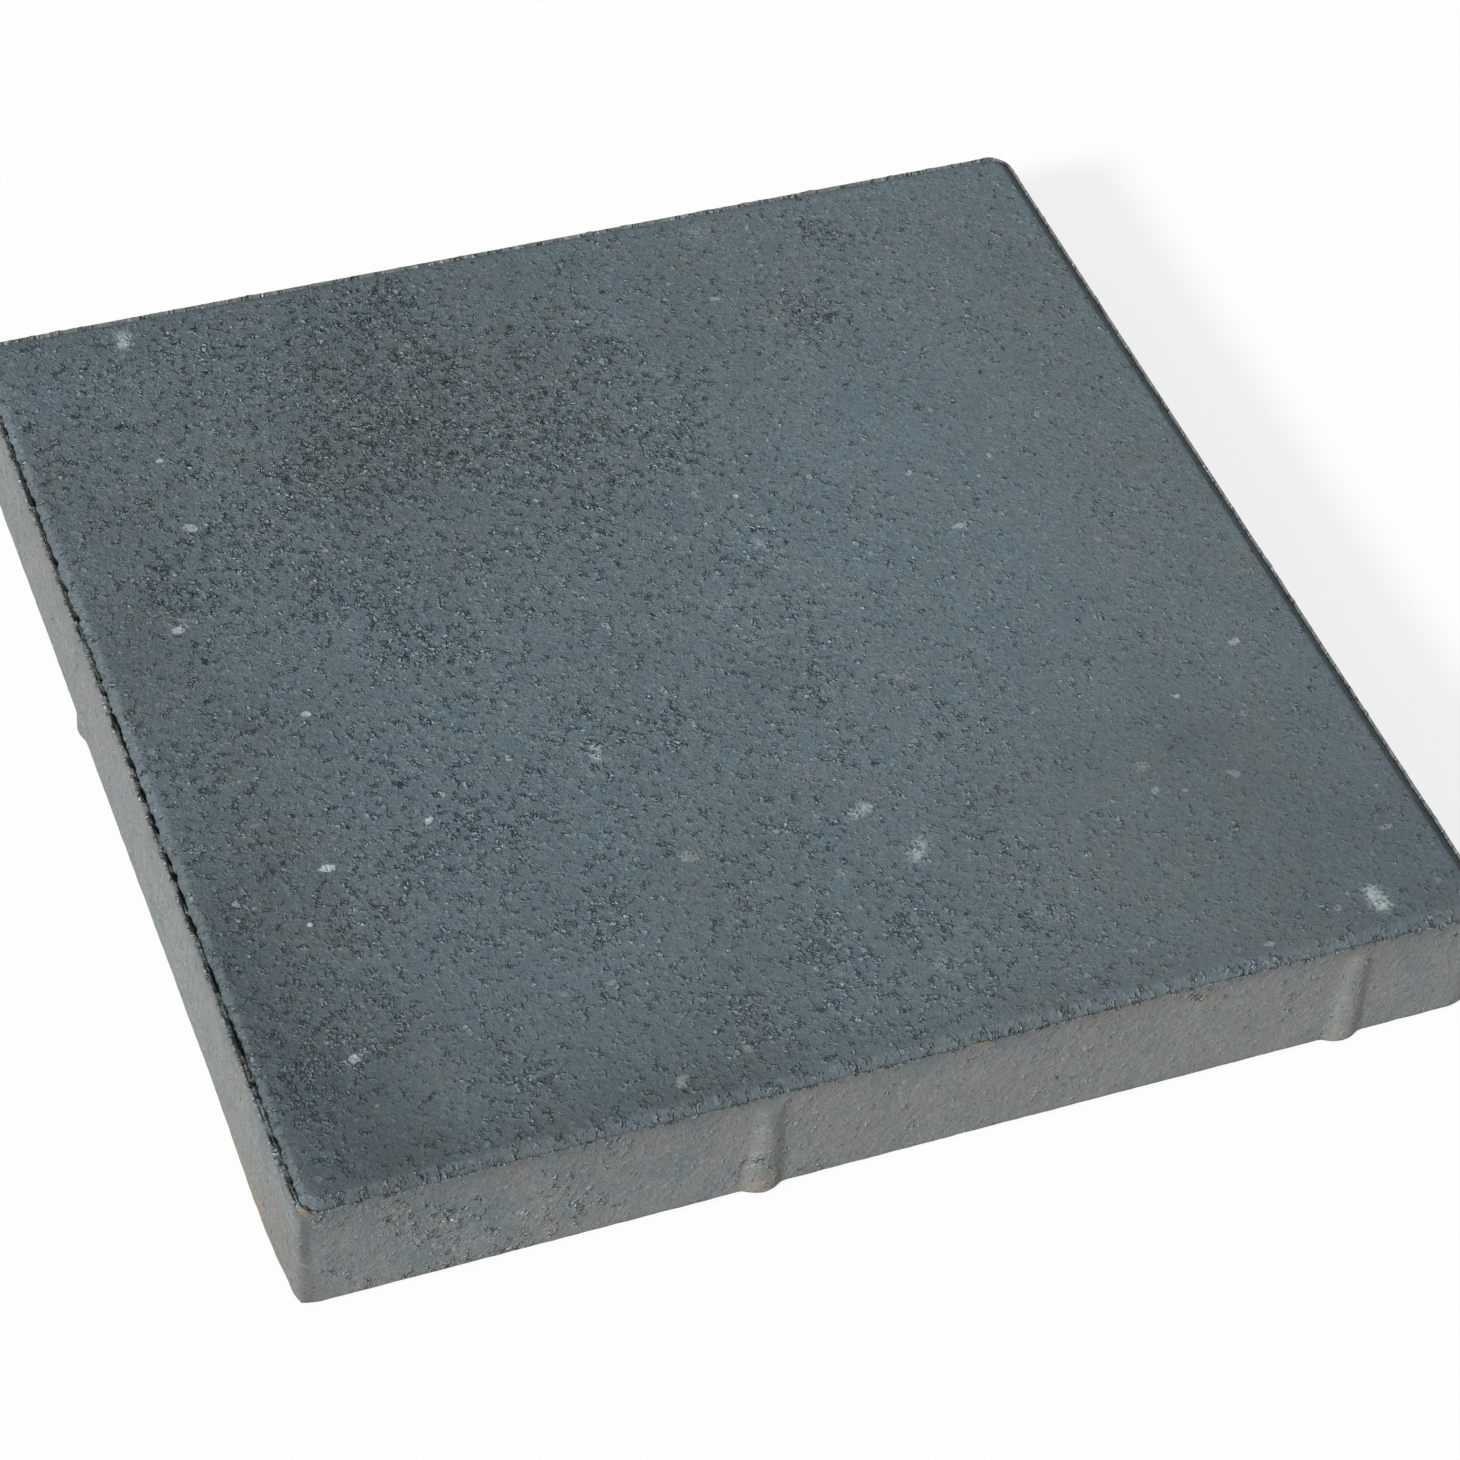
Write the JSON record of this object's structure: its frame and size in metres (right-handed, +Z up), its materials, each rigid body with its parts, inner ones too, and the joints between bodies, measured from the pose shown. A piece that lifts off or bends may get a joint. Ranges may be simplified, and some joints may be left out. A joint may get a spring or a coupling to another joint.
{
  "type": "paving slab",
  "caption": "Square pressed concrete paving slab, blue-grey face with a chamfered edge, plain grey sides carrying tapered spacer nibs.",
  "frame": {"origin": "centre of the bed, the flat face that the slab lies on", "axes": "+Z up through the thickness to the walking face; X along the length, Y along the width, with the front side face towards -Y"},
  "size_m": [0.405, 0.405, 0.048],
  "materials": {
    "concrete": "matte"
  },
  "bodies": {
    "root": {"slab": "concrete"}
  },
  "joints": []
}
